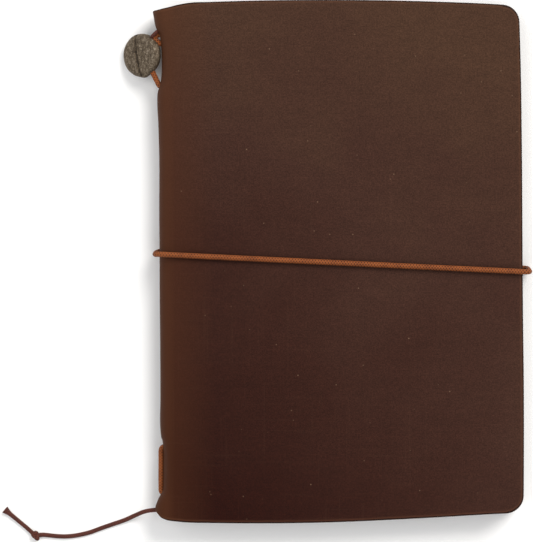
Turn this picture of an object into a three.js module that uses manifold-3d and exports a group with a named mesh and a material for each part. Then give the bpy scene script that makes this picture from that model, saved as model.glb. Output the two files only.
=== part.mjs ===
// A passport-size leather notebook cover with its booklet, closed and lying on its back cover.
// Millimetres, +Z up. X runs from the spine (-X) to the fore edge (+X) and Y from tail (-Y) to head (+Y).
// The origin is under the middle of the object, on the surface that it lies on.
// The cover is one sheet of leather. Its bend round the booklet is three flat strips between four
// hinge lines on the outer face, so that it opens flat.
import * as THREE from "three";
import { mergeVertices } from "three/addons/utils/BufferGeometryUtils.js";
import Module from "manifold-3d";

const wasm = await Module();
wasm.setup();

// Driving dimensions: the cover
const LEATHER = 2.0; // thickness of the sheet
const INSIDE = 4.6; // clear height between the two covers
const SPINE_X = -42.85; // outer face of the spine
const COVER_HEAD = 67; // the covers' straight ends
const COVER_TAIL = -67;
const SPINE_DIP = 0.9; // how far both ends draw in at the hinge
const END_X = -34; // where the ends are straight again
const HEAD_CORNER = [49.6, 66.1]; // fore-edge corners before rounding
const TAIL_CORNER = [50.6, -64.4];
const HEAD_RADIUS = 4.2;
const TAIL_RADIUS = 5.4;
const STRIP_HEAD = 64.4; // ends of the spine
const STRIP_TAIL = -62.9;
const GAP = 0.3; // between pieces that would touch
const HINGE_GAP = 0.15; // each side of a hinge line
const PRESS_MARK = 0.25; // depth of the line that the closure band presses into the leather
const PRESS_WIDTH = 2.2;

// Driving dimensions: elastics and cord
const ELASTIC = 1.4; // diameter of the round elastic
const CORD = 1.0; // diameter of the bookmark cord
const ROOM = 0.2; // round a cord in a hole
const SLACK = 0.05; // between the closure band and the leather it presses on
const ELASTIC_HEAD = 58.4; // Y of the holes in the spine
const CORD_HOLE = 59.75;
const ELASTIC_NECK = 45.3;
const BAND_FRONT_HOLE = 2.1;
const BAND_BACK_HOLE = 3.7;
const ELASTIC_WAIST = -46.5;
const ELASTIC_TAIL = -59.7;
const BAND_LEFT = -44.25; // middle of the closure band where it turns past the spine
const BAND_RIGHT = 52.05; // and past the fore edge
const BAND_RIGHT_Y = -2.5;

// Driving dimensions: clasp and booklet
const CLASP_RADIUS = 5.6;
const CLASP_THICK = 2.8;
const CLASP_TILT = 36; // degrees, spine side up
const CLASP_AT = [-47.95, 53.2, 3.95];
const CLASP_CHANNEL = 2.4; // from the middle of the disc to the elastic in it
const BOOKLET_WIDTH = 86;
const BOOKLET_HEAD = 62.8;
const BOOKLET_TAIL = -61.2;
const BOOKLET_THICK = 4.0;
const CARD = 0.35; // thickness of the booklet's own cover
const SHEET_GAP = 0.1; // between the booklet's card and pages
const PAGE_GAP = 0.15; // each side of the booklet's middle opening
const GUTTER = 0.9; // half height of the space that the elastic and cord open along the fold
const GUTTER_LENGTH = 2.2; // how far the gutter reaches past the fold's centre
const SPINE_CHANNEL = 2.4; // between the spine's leather and the booklet
const STAPLE = 0.5; // wire diameter
const STAPLE_WIDTH = 12;

// Worked out from them
const UNDERSIDE = ELASTIC + SLACK; // the cover lies on the closure band's back run
const TOPSIDE = UNDERSIDE + 2 * LEATHER + INSIDE;
const MIDDLE = (UNDERSIDE + TOPSIDE) / 2;
const STRIP = (TOPSIDE - UNDERSIDE) / (1 + Math.SQRT2); // width of each strip of the spine's half octagon
const HINGE_X = SPINE_X + STRIP * Math.SQRT1_2; // hinge line of each cover
const MITRE = LEATHER * Math.tan(Math.PI / 8);
const FOLD_X = SPINE_X + LEATHER + SPINE_CHANNEL + BOOKLET_THICK / 2; // centre of the booklet's fold
const BOOKLET_FORE = FOLD_X - BOOKLET_THICK / 2 + BOOKLET_WIDTH;
const BAND_OVER = TOPSIDE + SLACK + ELASTIC / 2;
const BAND_UNDER = ELASTIC / 2;
const CORD_X = FOLD_X + 1.5; // bookmark cord in the gutter, beside the elastic
const ON_TABLE = CORD / 2;

const leather = new THREE.MeshStandardMaterial({ color: 0x4a2e26, roughness: 0.62 });
const elastic = new THREE.MeshStandardMaterial({ color: 0x9a5528, roughness: 0.75 });
const cotton = new THREE.MeshStandardMaterial({ color: 0x5a2f27, roughness: 0.85 });
const pewter = new THREE.MeshStandardMaterial({ color: 0x7c7262, roughness: 0.5, metalness: 0.9 });
const card = new THREE.MeshStandardMaterial({ color: 0xb08a5c, roughness: 0.9 });
const paper = new THREE.MeshStandardMaterial({ color: 0xf1ead8, roughness: 0.95 });
const steel = new THREE.MeshStandardMaterial({ color: 0xb9bcbe, roughness: 0.35, metalness: 1 });

const notebook = new THREE.Group();

function addPart(name, geometry, material) {
  const mesh = new THREE.Mesh(geometry, material);
  mesh.name = name;
  notebook.add(mesh);
}

function solidOf(geometry) {
  const bare = geometry.clone();
  bare.deleteAttribute("normal");
  bare.deleteAttribute("uv");
  const merged = mergeVertices(bare, 1e-4);
  return new wasm.Manifold(
    new wasm.Mesh({
      numProp: 3,
      vertProperties: new Float32Array(merged.attributes.position.array),
      triVerts: new Uint32Array(merged.index.array),
    }),
  );
}

function geometryOf(solid) {
  const mesh = solid.getMesh();
  const geometry = new THREE.BufferGeometry();
  geometry.setAttribute("position", new THREE.BufferAttribute(mesh.vertProperties, 3));
  geometry.setIndex(new THREE.BufferAttribute(mesh.triVerts, 1));
  geometry.computeVertexNormals();
  return geometry;
}

function cut(geometry, tools) {
  return geometryOf(tools.reduce((left, tool) => left.subtract(solidOf(tool)), solidOf(geometry)));
}

const at = (x, y, z) => new THREE.Vector3(x, y, z);
const flat = (x, y) => new THREE.Vector2(x, y);

// A curve whose steps go from one of its points to the next, so that straight runs stay one step long.
class Route extends THREE.Curve {
  constructor(points) {
    super();
    this.points = points;
  }
  get steps() {
    return this.points.length - 1;
  }
  getUtoTmapping(u) {
    return u;
  }
  getPoint(t) {
    return this.points[Math.round(t * this.steps)].clone();
  }
  getTangent(t) {
    const here = Math.round(t * this.steps);
    const before = this.points[Math.max(here - 1, 0)];
    const after = this.points[Math.min(here + 1, this.steps)];
    const into = this.points[here].clone().sub(before).normalize();
    return after.clone().sub(this.points[here]).normalize().add(into).normalize();
  }
}

// Straight runs between the corners, with each corner rounded off over up to `bend` mm.
function bentRoute(corners, bend, stepsPerBend = 4) {
  const points = [corners[0]];
  for (let i = 1; i < corners.length - 1; i++) {
    const into = corners[i - 1].clone().sub(corners[i]);
    const out = corners[i + 1].clone().sub(corners[i]);
    const start = into.clone().setLength(Math.min(bend, 0.45 * into.length())).add(corners[i]);
    const end = out.clone().setLength(Math.min(bend, 0.45 * out.length())).add(corners[i]);
    points.push(...new THREE.QuadraticBezierCurve3(start, corners[i], end).getPoints(stepsPerBend));
  }
  points.push(corners.at(-1));
  return new Route(points);
}

function tube(route, diameter, sides = 8) {
  const section = new THREE.Shape();
  for (let i = 0; i < sides; i++) {
    const angle = (2 * Math.PI * i) / sides;
    section[i ? "lineTo" : "moveTo"]((diameter / 2) * Math.cos(angle), (diameter / 2) * Math.sin(angle));
  }
  section.closePath();
  return new THREE.ExtrudeGeometry(section, {
    extrudePath: route,
    steps: route.steps,
    bevelEnabled: false,
  });
}

// A prism along Y, from its outline in X and Z.
function prism(outline, head, tail) {
  const shape = outline instanceof THREE.Shape ? outline : new THREE.Shape(outline);
  const options = { depth: head - tail, bevelEnabled: false, curveSegments: 8 };
  const geometry = new THREE.ExtrudeGeometry(shape, options);
  return geometry.rotateX(Math.PI / 2).translate(0, head, 0);
}

function box(x0, x1, y0, y1, z0, z1) {
  const geometry = new THREE.BoxGeometry(x1 - x0, y1 - y0, z1 - z0);
  return geometry.translate((x0 + x1) / 2, (y0 + y1) / 2, (z0 + z1) / 2);
}

// Rounds the outline's corner, where `into` and `out` are unit steps towards it and away from it.
function roundCorner(shape, [x, y], radius, into, out) {
  const pull = 0.45 * radius; // makes the curve a near circle
  shape.lineTo(x - radius * into[0], y - radius * into[1]);
  shape.bezierCurveTo(
    x - pull * into[0],
    y - pull * into[1],
    x + pull * out[0],
    y + pull * out[1],
    x + radius * out[0],
    y + radius * out[1],
  );
}

// The closure band's front and back runs cross the covers at a slant.
function bandY(x, leftY, rightY) {
  return leftY + ((rightY - leftY) * (x - BAND_LEFT)) / (BAND_RIGHT - BAND_LEFT);
}

function pressMark(leftY, rightY, face) {
  const slant = Math.atan2(rightY - leftY, BAND_RIGHT - BAND_LEFT);
  const line = new THREE.BoxGeometry(2 * BAND_RIGHT, PRESS_WIDTH, 2 * PRESS_MARK);
  return line.rotateZ(slant).translate(0, bandY(0, leftY, rightY), face);
}

// One cover: it dips at the spine and narrows a little towards the fore edge.
function cover(bottom, outerFace, bandMark) {
  const shape = new THREE.Shape();
  shape.moveTo(HINGE_X, COVER_TAIL + SPINE_DIP);
  shape.lineTo(HINGE_X, COVER_HEAD - SPINE_DIP);
  shape.splineThru([flat(END_X, COVER_HEAD), flat(26, COVER_HEAD)]);
  roundCorner(shape, HEAD_CORNER, HEAD_RADIUS, [1, -0.04], [0.01, -1]);
  roundCorner(shape, TAIL_CORNER, TAIL_RADIUS, [0, -1], [-1, -0.055]);
  shape.splineThru([flat(24.5, COVER_TAIL + 1.2), flat(-6, COVER_TAIL), flat(END_X, COVER_TAIL)]);
  shape.lineTo(HINGE_X, COVER_TAIL + SPINE_DIP);
  const slab = new THREE.ExtrudeGeometry(shape, { depth: LEATHER, bevelEnabled: false, curveSegments: 6 });
  slab.translate(0, 0, bottom);
  const inwards = outerFace > MIDDLE ? -1 : 1;
  const edge = HINGE_X + HINGE_GAP;
  const beyond = HINGE_X - 3;
  const above = outerFace - inwards;
  const below = outerFace + inwards * (LEATHER + 1);
  const mitre = prism(
    [
      flat(beyond, above),
      flat(edge, above),
      flat(edge, outerFace),
      flat(edge + MITRE, outerFace + inwards * LEATHER),
      flat(edge + MITRE, below),
      flat(beyond, below),
    ],
    COVER_HEAD + 3,
    COVER_TAIL - 3,
  );
  return cut(slab, [mitre, bandMark]);
}

// One strip of the spine: it stands on its outer face, from `corner` along `angle`, with mitred sides.
function strip(corner, angle) {
  const along = [Math.cos(angle), Math.sin(angle)];
  const inwards = [along[1], -along[0]];
  const place = (s, n) =>
    flat(corner[0] + s * along[0] + n * inwards[0], corner[1] + s * along[1] + n * inwards[1]);
  const outline = [
    place(HINGE_GAP, 0),
    place(STRIP - HINGE_GAP, 0),
    place(STRIP - HINGE_GAP - MITRE, LEATHER),
    place(HINGE_GAP + MITRE, LEATHER),
  ];
  return prism(outline, STRIP_HEAD, STRIP_TAIL);
}

// A punched hole through the spine, stretched along Y by the cords in it.
function spineHole(firstY, lastY, diameter) {
  const radius = diameter / 2 + ROOM;
  const slot = new THREE.Shape();
  slot.absarc(0, -firstY, radius, 0, Math.PI);
  slot.absarc(0, -lastY, radius, Math.PI, 2 * Math.PI);
  slot.closePath();
  const depth = LEATHER + 2;
  const tool = new THREE.ExtrudeGeometry(slot, { depth, bevelEnabled: false, curveSegments: 8 });
  // the slot's own X becomes Z, its Y becomes -Y, and it is cut along +X
  const turn = new THREE.Matrix4().makeBasis(at(0, 0, 1), at(0, -1, 0), at(1, 0, 0));
  return tool.applyMatrix4(turn).translate(SPINE_X - 1, 0, MIDDLE);
}

function makeCover() {
  const backMark = pressMark(BAND_BACK_HOLE, BAND_RIGHT_Y, UNDERSIDE);
  const frontMark = pressMark(BAND_FRONT_HOLE, BAND_RIGHT_Y, TOPSIDE);
  addPart("back_cover", cover(UNDERSIDE, UNDERSIDE, backMark), leather);
  addPart("front_cover", cover(TOPSIDE - LEATHER, TOPSIDE, frontMark), leather);
  const step = STRIP * Math.SQRT1_2;
  addPart("spine_strip_back", strip([HINGE_X, UNDERSIDE], 0.75 * Math.PI), leather);
  const middle = strip([SPINE_X, UNDERSIDE + step], 0.5 * Math.PI);
  const holes = [
    spineHole(ELASTIC_HEAD, CORD_HOLE, ELASTIC),
    spineHole(ELASTIC_NECK, ELASTIC_NECK + 0.2, ELASTIC),
    spineHole(BAND_FRONT_HOLE, BAND_BACK_HOLE, ELASTIC),
    spineHole(ELASTIC_WAIST - 0.2, ELASTIC_WAIST, ELASTIC),
    spineHole(ELASTIC_TAIL, ELASTIC_TAIL + 0.2, ELASTIC),
  ];
  addPart("spine_strip_middle", cut(middle, holes), leather);
  addPart("spine_strip_front", strip([SPINE_X, TOPSIDE - step], 0.25 * Math.PI), leather);
}

// One length of elastic holds the booklet. It leaves the upper hole at the head, passes over the booklet's
// head and down its gutter, comes out at the tail hole, runs outside to the next hole, and returns up the
// inside of the spine.
function makeSpineElastic() {
  const channel = SPINE_X + LEATHER + 1.0;
  const beside = [channel + 0.5, MIDDLE - 0.8]; // beside the bookmark cord at the head
  const overHead = BOOKLET_HEAD + GAP + ELASTIC / 2;
  const underTail = BOOKLET_TAIL - GAP - ELASTIC / 2;
  const outside = SPINE_X - GAP - ELASTIC / 2;
  const besideKnot = [channel + 0.85, MIDDLE - 1.6];
  const corners = [
    at(SPINE_X + 0.1, ELASTIC_HEAD, MIDDLE),
    at(SPINE_X + LEATHER + 0.1, ELASTIC_HEAD, MIDDLE),
    at(beside[0], ELASTIC_HEAD, beside[1]),
    at(beside[0], overHead, beside[1]),
    at(FOLD_X, overHead, MIDDLE),
    at(FOLD_X, underTail, MIDDLE),
    at(channel, underTail, MIDDLE),
    at(channel, ELASTIC_TAIL, MIDDLE),
    at(outside, ELASTIC_TAIL, MIDDLE),
    at(outside, ELASTIC_WAIST, MIDDLE),
    at(channel, ELASTIC_WAIST, MIDDLE),
    at(besideKnot[0], ELASTIC_WAIST + 4, besideKnot[1]),
    at(besideKnot[0], ELASTIC_NECK - 4, besideKnot[1]),
    at(channel, ELASTIC_NECK, MIDDLE),
    at(SPINE_X + 0.1, ELASTIC_NECK, MIDDLE),
  ];
  addPart("spine_elastic", tube(bentRoute(corners, 1.3), ELASTIC), elastic);
}

// The clasp is a disc of folded tin alloy with the elastic through it. It leans on the spine.
function makeClasp() {
  const tilt = THREE.MathUtils.degToRad(CLASP_TILT);
  const rim = CLASP_THICK / 2;
  const profile = [new THREE.Vector2(0, -rim)];
  for (let i = 0; i <= 6; i++) {
    const angle = -Math.PI / 2 + (Math.PI * i) / 6;
    profile.push(new THREE.Vector2(CLASP_RADIUS - rim + rim * Math.cos(angle), rim * Math.sin(angle)));
  }
  profile.push(new THREE.Vector2(0, rim));
  const disc = new THREE.LatheGeometry(profile, 40).rotateX(Math.PI / 2);
  const reach = CLASP_RADIUS + 1;
  const channel = tube(
    new Route([at(CLASP_CHANNEL, -reach, 0), at(CLASP_CHANNEL, reach, 0)]),
    ELASTIC + 2 * ROOM,
    12,
  );
  const clasp = cut(disc, [channel]);
  addPart("clasp_disc", clasp.rotateY(-tilt).translate(...CLASP_AT), pewter);

  const through = [
    CLASP_AT[0] + CLASP_CHANNEL * Math.cos(tilt),
    CLASP_AT[2] + CLASP_CHANNEL * Math.sin(tilt),
  ];
  const corners = [
    at(SPINE_X - GAP, ELASTIC_HEAD, MIDDLE),
    at(SPINE_X - GAP - 0.9, ELASTIC_HEAD, MIDDLE),
    at(through[0], CLASP_AT[1] + CLASP_RADIUS - 0.2, through[1]),
    at(through[0], CLASP_AT[1] - CLASP_RADIUS + 0.2, through[1]),
    at(SPINE_X - GAP - 0.6, ELASTIC_NECK, MIDDLE),
    at(SPINE_X - GAP, ELASTIC_NECK, MIDDLE),
  ];
  addPart("clasp_elastic", tube(bentRoute(corners, 0.7), ELASTIC), elastic);
}

// The closure band is one loop of elastic. Both its ends pass through the middle hole to a knot inside.
// Its front run crosses the front cover and turns round the fore edge, its side run goes down the spine,
// and its back run lies under the back cover.
function makeClosureBand() {
  const inside = SPINE_X + LEATHER + 0.05;
  const bandCorner = 1.5;
  const flank = SPINE_X + 1.5;
  const backEnds = [SPINE_X + 4.5, BAND_RIGHT - 4.5];
  const frontY = (x) => bandY(x, BAND_FRONT_HOLE, BAND_RIGHT_Y);
  const backY = (x) => bandY(x, BAND_BACK_HOLE, BAND_RIGHT_Y);
  const front = [
    at(inside, BAND_FRONT_HOLE, MIDDLE),
    at(BAND_LEFT, BAND_FRONT_HOLE, MIDDLE),
    at(BAND_LEFT, BAND_FRONT_HOLE, MIDDLE + 2.8),
    at(flank, frontY(flank), BAND_OVER),
    at(BAND_RIGHT, BAND_RIGHT_Y, BAND_OVER),
    at(BAND_RIGHT, BAND_RIGHT_Y, BAND_UNDER),
    at(backEnds[1] + GAP, backY(backEnds[1]), BAND_UNDER),
  ];
  addPart("closure_band_front_run", tube(bentRoute(front, bandCorner), ELASTIC), elastic);
  const side = [
    at(inside, BAND_BACK_HOLE, MIDDLE),
    at(BAND_LEFT, BAND_BACK_HOLE, MIDDLE),
    at(BAND_LEFT, BAND_BACK_HOLE, MIDDLE - 2.8),
    at(flank, backY(flank), BAND_UNDER),
    at(backEnds[0] - GAP, backY(backEnds[0] - GAP), BAND_UNDER),
  ];
  addPart("closure_band_side_run", tube(bentRoute(side, bandCorner), ELASTIC), elastic);
  const back = new Route(backEnds.map((x) => at(x, backY(x), BAND_UNDER)));
  addPart("closure_band_back_run", tube(back, ELASTIC), elastic);
  const knot = new THREE.SphereGeometry(1, 16, 10).scale(0.85, 2.5, 1.2);
  knot.translate(SPINE_X + LEATHER + 1.25, (BAND_FRONT_HOLE + BAND_BACK_HOLE) / 2, MIDDLE + 0.55);
  addPart("closure_band_knot", knot, elastic);
}

// The bookmark is a thin braided cord, hitched round the elastic outside the upper hole. It passes over the
// booklet's head, down the gutter beside the elastic, and out round the tail of the spine. Its free end
// lies on the table, with an overhand knot near its tip.
function makeBookmark() {
  const hitch = new THREE.TorusGeometry(ELASTIC / 2 + 0.1 + 0.4, 0.4, 8, 16);
  hitch.rotateY(Math.PI / 2).translate(SPINE_X - 0.6, ELASTIC_HEAD, MIDDLE);
  addPart("bookmark_hitch", hitch, cotton);
  const head = BOOKLET_HEAD + 0.9;
  const inner = [
    at(SPINE_X + 0.1, CORD_HOLE, MIDDLE),
    at(SPINE_X + LEATHER + 0.7, CORD_HOLE, MIDDLE + 0.1),
    at(SPINE_X + LEATHER + 0.7, CORD_HOLE + 1.2, MIDDLE + 0.8),
    at(SPINE_X + LEATHER + 1.0, head, MIDDLE + 1.35),
    at(CORD_X - 1.0, head, MIDDLE + 1.35),
    at(CORD_X, head, MIDDLE + 0.3),
    at(CORD_X, BOOKLET_HEAD - 1.5, MIDDLE),
    at(CORD_X, BOOKLET_TAIL - GAP, MIDDLE),
  ];
  addPart("bookmark_inner_run", tube(bentRoute(inner, 1.0, 3), CORD), cotton);
  const free = [
    at(CORD_X, -62.0, MIDDLE),
    at(-36.2, -63.5, 5.7),
    at(-38.9, -64.1, 5.7),
    at(-41.6, -64.1, 5.5),
    at(-44.3, -63.95, 4.6),
    at(-47.1, -64.45, 2.9),
    at(-49.9, -65.65, 1.35),
    at(-52.4, -66.8, 0.7),
    at(-55.3, -67.8, ON_TABLE),
    at(-58.2, -68.8, ON_TABLE),
    at(-61.2, -69.9, ON_TABLE),
    at(-64.0, -70.6, ON_TABLE),
    at(-67.0, -71.0, ON_TABLE),
    at(-70.0, -70.95, ON_TABLE),
    at(-73.3, -70.6, ON_TABLE),
  ];
  const lay = new THREE.CatmullRomCurve3(free);
  addPart("bookmark_cord", tube(new Route(lay.getSpacedPoints(30)), CORD), cotton);
  const knot = new THREE.SphereGeometry(1, 14, 8).scale(1.3, 1.1, 0.9);
  addPart("bookmark_knot", knot.translate(-74.9, -70.4, 0.92), cotton);
  const tip = [
    at(-76.3, -69.3, ON_TABLE),
    at(-77.7, -68.1, ON_TABLE),
    at(-80.6, -65.2, ON_TABLE),
    at(-82.8, -63.4, ON_TABLE),
  ];
  addPart("bookmark_tip", tube(bentRoute(tip, 1.0), CORD), cotton);
}

// The fold of the booklet's card or pages: half a ring round the fold's centre, with two short legs.
function fold(outer, inner, head, tail) {
  const legs = FOLD_X + GUTTER_LENGTH - GAP;
  const shape = new THREE.Shape();
  shape.moveTo(legs, MIDDLE + outer);
  shape.lineTo(FOLD_X, MIDDLE + outer);
  shape.absarc(FOLD_X, MIDDLE, outer, Math.PI / 2, 1.5 * Math.PI);
  shape.lineTo(legs, MIDDLE - outer);
  shape.lineTo(legs, MIDDLE - inner);
  shape.lineTo(FOLD_X, MIDDLE - inner);
  shape.absarc(FOLD_X, MIDDLE, inner, 1.5 * Math.PI, Math.PI / 2, true);
  shape.lineTo(legs, MIDDLE + inner);
  shape.closePath();
  return prism(shape, head, tail);
}

// The booklet: a card cover and folded pages, stapled through the fold.
function makeBooklet() {
  const outer = BOOKLET_THICK / 2;
  const pages = outer - CARD - SHEET_GAP;
  const start = FOLD_X + GUTTER_LENGTH;
  const stapleAt = [38, -36];
  const crownX = FOLD_X - outer - STAPLE / 2 - 0.15;
  const legEnd = FOLD_X - GUTTER - 0.1;
  const legs = stapleAt.flatMap((y) => [y - STAPLE_WIDTH / 2, y + STAPLE_WIDTH / 2]);
  const legHoles = legs.map((y) =>
    tube(new Route([at(crownX - 1, y, MIDDLE), at(FOLD_X, y, MIDDLE)]), STAPLE + 2 * ROOM),
  );
  for (const [side, sign] of [["back", -1], ["front", 1]]) {
    const layer = (near, far) => [MIDDLE + sign * near, MIDDLE + sign * far].sort((a, b) => a - b);
    addPart(
      "booklet_card_" + side,
      box(start, BOOKLET_FORE, BOOKLET_TAIL, BOOKLET_HEAD, ...layer(outer - CARD, outer)),
      card,
    );
    addPart(
      "booklet_pages_" + side,
      box(start, BOOKLET_FORE - 0.5, BOOKLET_TAIL + 0.3, BOOKLET_HEAD - 0.3, ...layer(PAGE_GAP, pages)),
      paper,
    );
  }
  addPart("booklet_card_fold", cut(fold(outer, outer - CARD, BOOKLET_HEAD, BOOKLET_TAIL), legHoles), card);
  addPart(
    "booklet_pages_fold",
    cut(fold(pages, GUTTER, BOOKLET_HEAD - 0.3, BOOKLET_TAIL + 0.3), legHoles),
    paper,
  );
  ["head", "tail"].forEach((end, i) => {
    const [low, high] = [stapleAt[i] - STAPLE_WIDTH / 2, stapleAt[i] + STAPLE_WIDTH / 2];
    const wire = [
      at(legEnd, low, MIDDLE),
      at(crownX, low, MIDDLE),
      at(crownX, high, MIDDLE),
      at(legEnd, high, MIDDLE),
    ];
    addPart("booklet_staple_" + end, tube(bentRoute(wire, 0.35, 3), STAPLE), steel);
  });
}

makeCover();
makeSpineElastic();
makeClasp();
makeClosureBand();
makeBookmark();
makeBooklet();

export default notebook;
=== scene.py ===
import math

import bpy
import numpy as np
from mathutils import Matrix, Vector


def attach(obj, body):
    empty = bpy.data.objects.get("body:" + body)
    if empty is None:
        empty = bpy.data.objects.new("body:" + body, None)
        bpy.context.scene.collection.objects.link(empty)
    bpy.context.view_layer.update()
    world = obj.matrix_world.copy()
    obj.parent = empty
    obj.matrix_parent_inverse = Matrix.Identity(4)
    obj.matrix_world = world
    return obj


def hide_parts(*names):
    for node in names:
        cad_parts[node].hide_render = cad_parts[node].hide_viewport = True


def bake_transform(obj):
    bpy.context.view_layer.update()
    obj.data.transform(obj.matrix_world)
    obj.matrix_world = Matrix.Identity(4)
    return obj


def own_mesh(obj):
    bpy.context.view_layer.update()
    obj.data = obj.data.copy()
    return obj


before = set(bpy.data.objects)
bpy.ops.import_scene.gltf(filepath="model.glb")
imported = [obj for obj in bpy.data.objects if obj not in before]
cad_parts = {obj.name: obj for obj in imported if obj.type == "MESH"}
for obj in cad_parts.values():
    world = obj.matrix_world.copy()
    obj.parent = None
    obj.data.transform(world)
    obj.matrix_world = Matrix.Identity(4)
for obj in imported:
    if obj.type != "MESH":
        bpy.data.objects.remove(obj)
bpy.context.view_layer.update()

MM = 0.001

# The sheet of leather
LEATHER = 2.0  # thickness
ARC_X, ARC_Z = -38.55, 5.75  # centre of the bend round the booklet
ARC_R = 4.3  # outer face of the bend
QUARTER = ARC_R * math.pi / 2  # way round from the middle of the spine to a cover
EIGHTH = QUARTER / 2
FORE = QUARTER + 88.55  # way round to the fore edge
HEAD_RADIUS, TAIL_RADIUS = 4.1, 4.4
EDGE_ROUND, EDGE_DROP = 0.5, 0.4  # burnished edges: how far in, and how far down
PRESS_DEPTH, PRESS_WIDTH = 0.22, 0.9  # of the line that the closure band presses into it
HOLES = (  # in the spine: place, length along the spine, height
    (58.9, 2.9, 1.7),
    (45.35, 2.1, 1.7),
    (2.15, 1.7, 3.2),
    (-47.5, 2.1, 1.7),
    (-59.6, 2.1, 1.7),
)

# Elastic and cord
ELASTIC = 1.4
CORD = 1.0
CORD_SEEN = 1.08  # over the tops of the braid
OUTSIDE = -42.75  # where the elastics pass the spine's outer face

# The closure band
BAND_LEFT, BAND_RIGHT, BAND_RIGHT_Y = -44.25, 52.05, -2.5  # its turns round the spine and the fore edge
BAND_FRONT_HOLE, BAND_BACK_HOLE = 2.1, 3.7  # where its front and back runs meet the spine
BAND_OVER, BAND_UNDER = 10.8, 0.7  # its height over the front cover and under the back cover
STRANDS_APART = 0.75  # its two sides in their hole, above and below the middle

# The booklet
FOLD_X, MIDDLE = -36.45, 5.75  # the line that the booklet's bend goes round
BOOKLET_HEAD, BOOKLET_TAIL, BOOKLET_FORE = 62.8, -61.2, 47.55
FOLD_TURN = math.radians(45)  # how much of the bend, each way, stays in the spine when the booklet opens
CARD_OUTER, CARD_INNER = 2.0, 1.65  # from the booklet's middle plane
PAGES_OUTER, PAGES_INNER = 1.6, 0.12
PAGES_SHORT = 0.3  # inside the card's edges
GUTTER = 0.9  # half of the space that the elastic and the cord open along the fold
STAPLE = 0.5
STAPLE_SPAN = 6  # from the middle of a staple to its leg

# The clasp
CLASP_AT = (-47.95, 53.2, 3.95)
CLASP_RADIUS, CLASP_HALF = 5.6, 1.4
CLASP_TILT_DEGREES = 34
CLASP_TILT = math.radians(CLASP_TILT_DEGREES)
CLASP_SEEN_AT = (-47.75, 53.5, 3.95)  # a little towards the head, where its elastic pulls it
CLASP_CHANNEL = 2.4  # from the middle of the clasp to the elastic through it
CLASP_DOME, CLASP_PITS = 0.12, 0.025
SEAM_WIDTH, SEAM_GROOVE, SEAM_RIDGE, SEAM_STEP = 0.3, 0.13, 0.12, 0.16
LIP, LIP_TURN = 0.055, 1.56 * math.pi  # how far it stands out, as a share of the radius, and where

# The free end of the bookmark cord, in metres: out round the tail of the spine and along the table
BOOKMARK_ROUTE = [
    (-0.03495, -0.0620, 0.00575),
    (-0.0362, -0.0635, 0.0057),
    (-0.0389, -0.0641, 0.0057),
    (-0.0416, -0.0641, 0.0055),
    (-0.0443, -0.06395, 0.0046),
    (-0.0471, -0.06445, 0.0029),
    (-0.0499, -0.06565, 0.00135),
    (-0.0524, -0.0668, 0.0007),
    (-0.0553, -0.0678, 0.0005),
    (-0.0582, -0.0688, 0.0005),
    (-0.0612, -0.0699, 0.0005),
    (-0.0640, -0.0706, 0.0005),
    (-0.0670, -0.0710, 0.0005),
    (-0.0700, -0.07095, 0.0005),
    (-0.0733, -0.0706, 0.0005),
]

# Camera
CAMERA_AT = (-0.0156, -0.00225)
CAMERA_HEIGHT = 1.2
VIEW_HEIGHT = 0.13933  # of the plane of the front cover
FRONT_FACE = 0.01005


# ---------------------------------------------------------------- curves and meshes


def smooth(knots):
    """A smooth function through the (place, value) knots."""
    places, values = np.array(sorted(knots), float).T
    slopes = np.gradient(values, places)

    def value(x):
        x = np.clip(x, places[0], places[-1])
        i = np.clip(np.searchsorted(places, x, side="right") - 1, 0, len(places) - 2)
        span = places[i + 1] - places[i]
        u = (x - places[i]) / span
        rest = 1 - u
        before = values[i] * (1 + 2 * u) * rest**2 + slopes[i] * span * u * rest**2
        after = values[i + 1] * (3 - 2 * u) * u**2 - slopes[i + 1] * span * rest * u**2
        return before + after

    return value


def rounded(corners, bend, steps=8):
    """Straight runs between the corners, with each corner rounded off over up to `bend` mm."""
    corners = [np.array(c, float) for c in corners]
    points = [corners[0]]
    for before, corner, after in zip(corners, corners[1:], corners[2:]):
        into, out = before - corner, after - corner
        into_length, out_length = np.linalg.norm(into), np.linalg.norm(out)
        start = corner + into * min(bend / into_length, 0.45)
        end = corner + out * min(bend / out_length, 0.45)
        for u in np.linspace(0, 1, steps + 1):
            points.append(start * (1 - u) ** 2 + corner * 2 * u * (1 - u) + end * u**2)
    points.append(corners[-1])
    return np.array(points)


def flowing(points, steps=10, closed=False):
    """A smooth line through the points."""
    points = np.array(points, float)
    if closed:
        points = np.vstack([points[-1:], points, points[:2]])
    else:
        points = np.vstack([2 * points[0] - points[1], points, 2 * points[-1] - points[-2]])
    line = []
    for a, b, c, d in zip(points, points[1:], points[2:], points[3:]):
        for u in np.arange(steps) / steps:
            square = 2 * a - 5 * b + 4 * c - d
            cube = 3 * b - a - 3 * c + d
            line.append(0.5 * (2 * b + (c - a) * u + square * u**2 + cube * u**3))
    line.append(points[-2])
    return np.array(line)


def evenly(line, step):
    """The same line with its points one step apart."""
    along = np.concatenate([[0], np.cumsum(np.linalg.norm(np.diff(line, axis=0), axis=1))])
    places = np.linspace(0, along[-1], max(2, round(along[-1] / step) + 1))
    return np.column_stack([np.interp(places, along, line[:, k]) for k in range(3)]), places


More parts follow.
